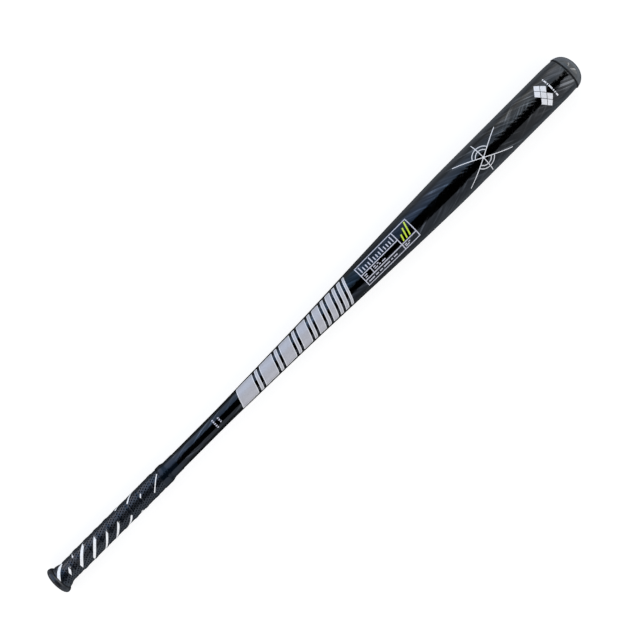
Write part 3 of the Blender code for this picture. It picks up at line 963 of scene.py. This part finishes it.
def makePanel():
    line, gap = panel["line"], panel["gap"]
    left, right, low, high = panel["from"], panel["to"], panel["low"], panel["high"]
    wall, shelf, upper, post = panel["neonFrom"], panel["shelf"], panel["upperShelf"], panel["post"]
    start, end = left + line + gap, right - line - gap
    outlines = [
        box(left, low, left + line, high),
        box(right - line, low, right, high),
        box(start, low, end, low + line),
        box(start, high - line, end, high),
        box(wall, low + line + gap, wall + line, high - line - gap),
        box(start, shelf, wall - gap, shelf + line),
        box(wall + line + gap, shelf, end, shelf + line),
        box(start, upper, wall - gap, upper + line),
        box(post, shelf + line + gap, post + line, upper - gap),
    ]
    # a scale of ticks
    after, before = panel["tickMargins"]
    foot, half = panel["tickFoot"], panel["tickWidth"] / 2.0
    for index, x in enumerate(spaced(left + after, wall - before, panel["ticks"] - 1)):
        tall = panel["tickHeights"][0 if index % panel["tallEvery"] == 0 else 1]
        outlines.append(box(x - half, foot, x + half, foot + tall))
    # rows of short dashes
    for x, arc, tall, lengths in panel["dashRows"]:
        for length in lengths:
            outlines.append(box(x, arc - tall / 2.0, x + length, arc + tall / 2.0))
            x += length + panel["dashGap"]
    makeFilm("panelLines", outlines, greyInk)
    bars = []
    after, before = panel["neonMargins"]
    foot, half, tops = panel["neonFoot"], panel["neonHalf"], panel["neonTops"]
    for x, top in zip(spaced(wall + after, right - before, len(tops) - 1), tops):
        bars.append(rounded(leaningBar(x, half, panel["neonSlant"], foot, top), panel["neonCorner"]))
    makeFilm("panelNeonBars", bars, neonInk)


makePanel()

shaftTicks = {
    "centre": (0.3057, 0.0),
    "rows": ((-0.0045, 5), (0.0035, 3)),
    "pitch": 0.0030, "half": 0.0012, "height": 0.0017,
}


def makeShaftTicks():
    x, arc = shaftTicks["centre"]
    wide, tall = shaftTicks["half"], shaftTicks["height"] / 2.0
    outlines = []
    for offset, count in shaftTicks["rows"]:
        for index in range(count):
            middle = arc + (index - (count - 1) / 2.0) * shaftTicks["pitch"]
            outlines.append(box(x + offset - wide, middle - tall, x + offset + wide, middle + tall))
    makeFilm("shaftTicks", outlines, greyInk)


makeShaftTicks()

tipMark = {
    "centre": (0.9157, -0.0008), "size": (0.0049, 0.0060), "pitch": (0.0053, 0.0134),
    "columns": ((-1, (-0.5, 0.5)), (0, (-1, 0, 1)), (1, (-0.5, 0.5))),
    "dashX": 0.9297, "dashFrom": -0.0150,
    "dashes": (0.0045, 0.0018, 0.0018, 0.0068, 0.0018, 0.0045, 0.0018), "dashGap": 0.0014,
    "dashWidth": 0.0021,
}


def makeTipMark():
    x, arc = tipMark["centre"]
    wide, tall = tipMark["size"]
    alongPitch, arcPitch = tipMark["pitch"]
    lozenges, dashes = [], []
    for column, rows in tipMark["columns"]:
        for row in rows:
            cx, ca = x + column * alongPitch, arc + row * arcPitch
            lozenges.append([(cx - wide, ca), (cx, ca - tall), (cx + wide, ca), (cx, ca + tall)])
    makeFilm("tipLozenges", lozenges, whiteInk)
    x, half, foot = tipMark["dashX"], tipMark["dashWidth"] / 2.0, tipMark["dashFrom"]
    for length in tipMark["dashes"]:
        dashes.append(box(x - half, foot, x + half, foot + length))
        foot += length + tipMark["dashGap"]
    makeFilm("tipDashes", dashes, whiteInk)


makeTipMark()
print("print laid on the tube")


# studio

studio = {
    "ambient": 0.50, "middle": 0.49, "floorSize": 9.0, "wattsPerArea": 4.0,
    # x and height of the two places where the bat touches the floor
    "knobTouch": (0.0039, -0.02030), "capTouch": (0.9604, -0.02585), "floorTones": (0.86, 0.38),
    "floorGlow": 0.76,
    "coolBox": {"side": 1.0, "tilt": 52.0, "away": 1.4, "size": (2.8, 1.3), "light": (0.74, 0.86, 1.06)},
    "plainBox": {"side": -1.0, "tilt": 52.0, "away": 1.4, "size": (2.8, 1.3), "light": (0.84, 0.86, 0.90)},
}

# a light tent of diffusers that only gloss sees; angles start straight up and turn towards +Y
tent = {
    "radius": 1.2, "from": -1.5, "to": 2.5, "stations": 320, "angleStep": 1.5,
    "walls": [
        (-90.0, 0.54, 0.59, 0.66),
        (-72.0, 0.62, 0.66, 0.72),
        (-42.0, 0.72, 0.76, 0.82),
        (0.0, 0.68, 0.74, 0.86),
        (22.0, 0.58, 0.84, 1.22),
        (50.0, 0.76, 1.02, 1.42),
        (70.0, 0.88, 1.06, 1.36),
        (82.0, 0.80, 0.95, 1.12),
        (90.0, 0.52, 0.62, 0.72),
    ],
    # the tent is brighter towards its ends: x, and by how much
    "ends": [(-0.40, 0.55), (-0.15, 0.0), (1.00, 0.0), (1.10, 0.30), (1.22, 0.55),
             (1.30, 1.0), (1.50, 1.0), (1.62, 0.10)],
    "endLight": (0.90, 0.92, 0.96),
    # how the light changes along the tent: x, the wall towards +Y, the wall towards -Y, and the
    # painted light of the table towards +Y and towards -Y
    "changes": [
        (-0.52, 0.30, 0.30, 0.30, 0.30, 0.30, 0.30, 0.70, 1.30),
        (-0.38, 1.46, 1.24, 1.11, 1.00, 1.06, 1.14, 0.70, 1.30),
        (-0.2, 1.32, 1.12, 1.04, 0.84, 0.89, 0.96, 0.70, 1.30),
        (-0.03, 1.18, 1.01, 0.99, 0.80, 0.84, 0.92, 0.70, 1.30),
        (0.03, 1.15, 1.14, 1.32, 0.92, 1.02, 1.25, 0.70, 1.30),
        (0.09, 1.07, 1.12, 1.26, 0.85, 0.90, 1.00, 0.60, 1.05),
        (0.17, 0.93, 0.99, 1.12, 0.88, 0.92, 1.02, 0.55, 1.00),
        (0.2, 0.92, 0.98, 1.12, 0.87, 0.92, 1.02, 0.45, 0.80),
        (0.24, 0.90, 0.97, 1.12, 0.86, 0.90, 1.01, 0.30, 0.30),
        (0.3, 0.88, 0.96, 1.12, 0.85, 0.89, 1.00, 0.30, 0.30),
        (0.45, 0.58, 0.72, 0.85, 0.60, 0.66, 0.80, 0.35, 0.35),
        (0.523, 0.42, 0.58, 0.72, 0.45, 0.50, 0.60, 0.50, 0.50),
        (0.62, 0.42, 0.51, 0.64, 0.66, 0.72, 0.82, 0.70, 0.70),
        (0.7, 0.51, 0.59, 0.77, 0.80, 0.86, 0.98, 1.00, 1.00),
        (0.8, 0.92, 0.95, 1.06, 0.88, 0.94, 1.05, 1.17, 1.17),
        (0.93, 1.02, 1.02, 1.04, 0.84, 0.90, 1.00, 1.08, 1.08),
        (1.045, 0.74, 0.67, 0.60, 0.58, 0.61, 0.65, 1.20, 1.20),
        (1.075, 0.78, 0.70, 0.62, 0.63, 0.65, 0.66, 1.80, 2.30),
        (1.1, 1.03, 0.92, 0.79, 0.70, 0.71, 0.72, 1.80, 2.30),
        (1.18, 1.01, 0.91, 0.79, 0.70, 0.71, 0.73, 1.80, 2.30),
        (1.22, 0.96, 0.91, 0.85, 0.73, 0.74, 0.77, 1.80, 2.30),
        (1.35, 1.02, 0.96, 0.92, 0.80, 0.82, 0.85, 1.80, 2.30),
        (1.62, 1.10, 1.04, 0.90, 1.10, 1.12, 1.12, 1.80, 2.30),
    ],
    # black cloth along the top: x, its edge towards +Y, its edge towards -Y, how much it covers
    "cloth": [
        (-1.40, 14, -38, 0), (-1.30, 14, -38, 1), (-0.45, 14, -38, 1), (-0.33, 16, -38, 0.1),
        (-0.24, 18, -38, 0.25), (-0.20, 18, -38, 0.7), (-0.14, 19, -40, 0.95), (0.00, 20, -40, 1),
        (0.034, 3, -38, 1), (0.055, 19, -40, 1), (0.09, 24, -42, 1), (0.176, 24, -44, 1),
        (0.24, 23, -47, 1), (0.40, 16, -48, 1), (0.49, 3, -45, 1), (0.505, -2, -43, 1),
        (0.52, -5, -47.5, 1), (0.535, 7, -46, 1), (0.58, 4, -37, 1), (0.62, 0.5, -31, 1),
        (0.678, 2.5, -31, 1), (0.695, 20, -24.4, 1), (0.715, 22.5, -41.5, 1), (0.93, 22.5, -42, 1),
        (0.944, 2.7, -38, 1), (0.957, 2.7, -38, 1), (0.970, 14.7, -35.5, 1), (1.035, 14.5, -34, 1),
        (1.048, 13.5, -34.5, 1), (1.062, 14.5, -33, 1), (1.08, 14.5, -33.5, 1), (1.17, 14.5, -34, 1),
        (1.224, 14.5, -33.5, 1), (1.247, 13, -30, 1), (1.275, 6, -20, 1), (1.29, 2, -15, 1),
        (1.31, 6, -18, 1), (1.334, 11, -22, 1), (1.36, 11, -21, 1), (1.385, 1, -15.5, 1), (1.40, 1, -16, 1),
        (1.425, 12, -20, 1), (1.45, 17, -24, 1), (1.50, 17, -24, 1), (1.52, 17, -24, 0),
    ],
    "clothLight": 0.002, "clothEdge": 1.0,
    # the table beside the bat, which only gloss sees, has painted light: distance from its middle, and how
    # light it is; it is greyer than the floor and darkest near its middle, a painted shadow of the bat
    "paintedShadowTable": [(0.0, 0.02), (0.03, 0.04), (0.045, 0.20), (0.07, 0.45), (0.12, 0.45), (0.45, 0.45),
              (1.2, 0.45)],
    "beyondTip": 2.0, "clearFrom": 1.0, "tableTowardsLeft": (1.05, 1.16, 1.34),
    "tableTowardsRight": (0.88, 1.00, 1.15), "tableLift": 0.0006,
    # the far end is closed but for a dark door, lit along its edges: its middle and its half width,
    # each at the foot and at the top
    "endWall": {"height": 1.2, "step": 0.04, "middle": (0.01, 0.14), "half": (0.46, 0.33), "edge": 0.08},
    "endWallLight": {"door": 0.95, "leftEdge": 5.2, "rightEdge": 8.0, "left": 1.20, "right": 1.90},
    # the feet of the walls: x, and how much brighter they are there
    "feet": [(-0.02, 0.50), (0.06, 0.0), (0.80, 0.0), (0.92, -0.28), (1.50, -0.28)],
    "footFrom": 72.0, "footRun": 10.0, "leftFrom": -30.0, "leftRun": 40.0,
}


def along(rows, place):
    # reads a table of (place, value, ...) rows between its entries
    if place <= rows[0][0]:
        return rows[0][1:]
    for first, second in zip(rows, rows[1:]):
        if place <= second[0]:
            share = (place - first[0]) / (second[0] - first[0])
            return [between(low, high, share) for low, high in zip(first[1:], second[1:])]
    return rows[-1][1:]


def clearTree(owner):
    owner.use_nodes = True
    owner.node_tree.nodes.clear()
    return owner.node_tree


def showShade(tree, kind, unseen, seen):
    # camera, mirror and glass rays see the second shade
    path = addNode("LightPath", {}, tree=tree).node.outputs
    direct = calc("MAXIMUM", path["Is Camera Ray"], path["Is Glossy Ray"])
    direct = calc("MAXIMUM", direct, path["Is Transmission Ray"])
    mixed = addNode("MixShader", {0: direct, 1: unseen, 2: seen})
    plug(tree.nodes.new("ShaderNodeOutput" + kind), {0: mixed})


def makeWorld():
    world = bpy.data.worlds.new("paleStudio")
    bpy.context.scene.world = world
    tree = clearTree(world)
    white = (1.0, 1.0, 1.0, 1.0)
    shades = [addNode("Background", {"Color": white, "Strength": strength}, tree=tree)
              for strength in (studio["ambient"], 1.0)]
    showShade(tree, "World", *shades)


def floorHeight(x):
    # the floor leans by a third of a degree, so that the knob and the cap both touch it
    (first, low), (last, high) = studio["knobTouch"], studio["capTouch"]
    return low + (high - low) / (last - first) * (x - first)


def makeFloor():
    body = bmesh.new()
    bmesh.ops.create_grid(body, x_segments=8, y_segments=8, size=studio["floorSize"] / 2.0)
    for vert in body.verts:
        vert.co.x += studio["middle"]
        vert.co.z = floorHeight(vert.co.x)
    paper = bpy.data.materials.new("paleFloor")
    tree = clearTree(paper)
    lit, shown = [addNode("BsdfDiffuse", {"Color": (tone, tone, tone, 1.0)}, tree=tree)
                  for tone in studio["floorTones"]]
    glow = addNode("Emission", {"Strength": studio["floorGlow"]}, tree=tree)
    showShade(tree, "Material", lit, addNode("AddShader", {0: shown, 1: glow}))
    floor = addObject("studioFloor", body, [paper])


def makeSoftBox(name):
    settings = studio[name]
    tilt, side, away = radians(settings["tilt"]), settings["side"], settings["away"]
    brightest = max(settings["light"])
    lamp = bpy.data.lights.new(name, "AREA")
    lamp.shape = "RECTANGLE"
    lamp.size, lamp.size_y = settings["size"]
    lamp.color = [channel / brightest for channel in settings["light"]]
    lamp.energy = studio["wattsPerArea"] * lamp.size * lamp.size_y * brightest
    lampObject = bpy.data.objects.new(name, lamp)
    bpy.context.scene.collection.objects.link(lampObject)
    lampObject.location = (studio["middle"], side * away * sin(tilt), away * cos(tilt))
    lampObject.rotation_euler = (-side * tilt, 0.0, 0.0)
    lampObject.visible_camera = False
    lampObject.visible_glossy = False
    lampObject.visible_transmission = False


def tentLight(x, angle):
    more = along(tent["ends"], x)[0]
    changes = along(tent["changes"], x)
    towardsLeft = smooth((angle - tent["leftFrom"]) / tent["leftRun"])
    foot = 1.0 + along(tent["feet"], x)[0] * smooth((angle - tent["footFrom"]) / tent["footRun"])
    colour = []
    walls = along(tent["walls"], angle)
    for channel, extra, left, right in zip(walls, tent["endLight"], changes[:3], changes[3:6]):
        colour.append((channel + more * extra) * between(right, left, towardsLeft) * foot)
    high, low, cover = along(tent["cloth"], x)
    inside = min(high - angle, angle - low) / tent["clothEdge"]
    cover *= smooth(0.5 + 0.5 * inside)
    return [between(channel, tent["clothLight"], cover) for channel in colour]


def endWallLight(y, z):
    wall, light = tent["endWall"], tent["endWallLight"]
    share = z / wall["height"]
    offset = y - between(*wall["middle"], share)
    half = between(*wall["half"], share)
    edge = wall["edge"]
    if abs(offset) < half - edge:
        return light["door"]
    if abs(offset) < half + edge:
        return light["leftEdge"] if offset > 0.0 else light["rightEdge"]
    return light["left"] if offset > 0.0 else light["right"]


def paintedShadowTableLight(x, y):
    # beyond the tip the painted shadow of the bat fades out
    clear = tent["beyondTip"] * max(0.0, x - tent["clearFrom"])
    left, right = along(tent["changes"], x)[6:]
    level = along(tent["paintedShadowTable"], abs(y) + clear)[0] * (left if y > 0.0 else right)
    return [level * channel for channel in tent["tableTowardsLeft" if y > 0.0 else "tableTowardsRight"]]


def skin(body, lines, closed=False):
    for first, second in zip(lines, lines[1:]):
        for index in range(len(first) if closed else len(first) - 1):
            after = (index + 1) % len(first)
            body.faces.new((first[index], first[after], second[after], second[index]))


def makeTent():
    body = bmesh.new()
    shown = body.verts.layers.float_color.new("tentLight")

    def addVert(place, colour):
        vert = body.verts.new(place)
        vert[shown] = (*colour, 1.0)
        return vert

    radius, wall = tent["radius"], tent["endWall"]
    across = round(radius / wall["step"])
    end, foot = tent["to"], floorHeight(tent["to"])
    grid = []
    for row in range(round(wall["height"] / wall["step"]) + 1):
        z = row * wall["step"]
        places = [column * wall["step"] for column in range(-across, across + 1)]
        grid.append([addVert((end, y, foot + z), [endWallLight(y, z)] * 3) for y in places])
    skin(body, grid)
    distances = [row[0] for row in tent["paintedShadowTable"]]
    tablePlaces = distances[-2::-1] + [-distance for distance in distances[1:-1]]
    lines = []
    for x in spaced(tent["from"], tent["to"], tent["stations"]):
        paintedShadowTable = floorHeight(x) + tent["tableLift"]
        line = []
        for angle in spaced(-90.0, 90.0, round(180.0 / tent["angleStep"])):
            turn = radians(angle)
            corner = (x, radius * sin(turn), paintedShadowTable + radius * cos(turn))
            line.append(addVert(corner, tentLight(x, angle)))
        # the table strip under the bat, with its painted light and painted shadow
        line += [addVert((x, y, paintedShadowTable), paintedShadowTableLight(x, y)) for y in tablePlaces]
        lines.append(line)
    skin(body, lines, closed=True)
    glowing = bpy.data.materials.new("tentCloth")
    tree = clearTree(glowing)
    colour = addNode("Attribute", {}, "Color", tree, attribute_name="tentLight")
    plug(tree.nodes.new("ShaderNodeOutputMaterial"), {0: addNode("Emission", {"Color": colour})})
    cloth = addObject("lightTent", body, [glowing])
    cloth.visible_camera = False
    cloth.visible_diffuse = False
    cloth.visible_shadow = False
    cloth.visible_transmission = False


makeWorld()
makeFloor()
makeSoftBox("coolBox")
makeSoftBox("plainBox")
makeTent()

camera = {
    "place": (0.49743, -0.00119, 1.8100), "roll": -45.07, "focal": 1353.5, "picture": 640.0,
    "sensor": 36.0,
}


def makeCamera():
    lens = bpy.data.cameras.new("overheadCamera")
    lens.sensor_width = camera["sensor"]
    lens.lens = camera["focal"] * camera["sensor"] / camera["picture"]
    eye = bpy.data.objects.new("overheadCamera", lens)
    eye.location = camera["place"]
    eye.rotation_euler = (0.0, 0.0, radians(camera["roll"]))
    bpy.context.scene.collection.objects.link(eye)
    bpy.context.scene.camera = eye


makeCamera()
bpy.context.scene.view_settings.view_transform = "Standard"
print("studio and camera ready")

bpy.context.view_layer.update()
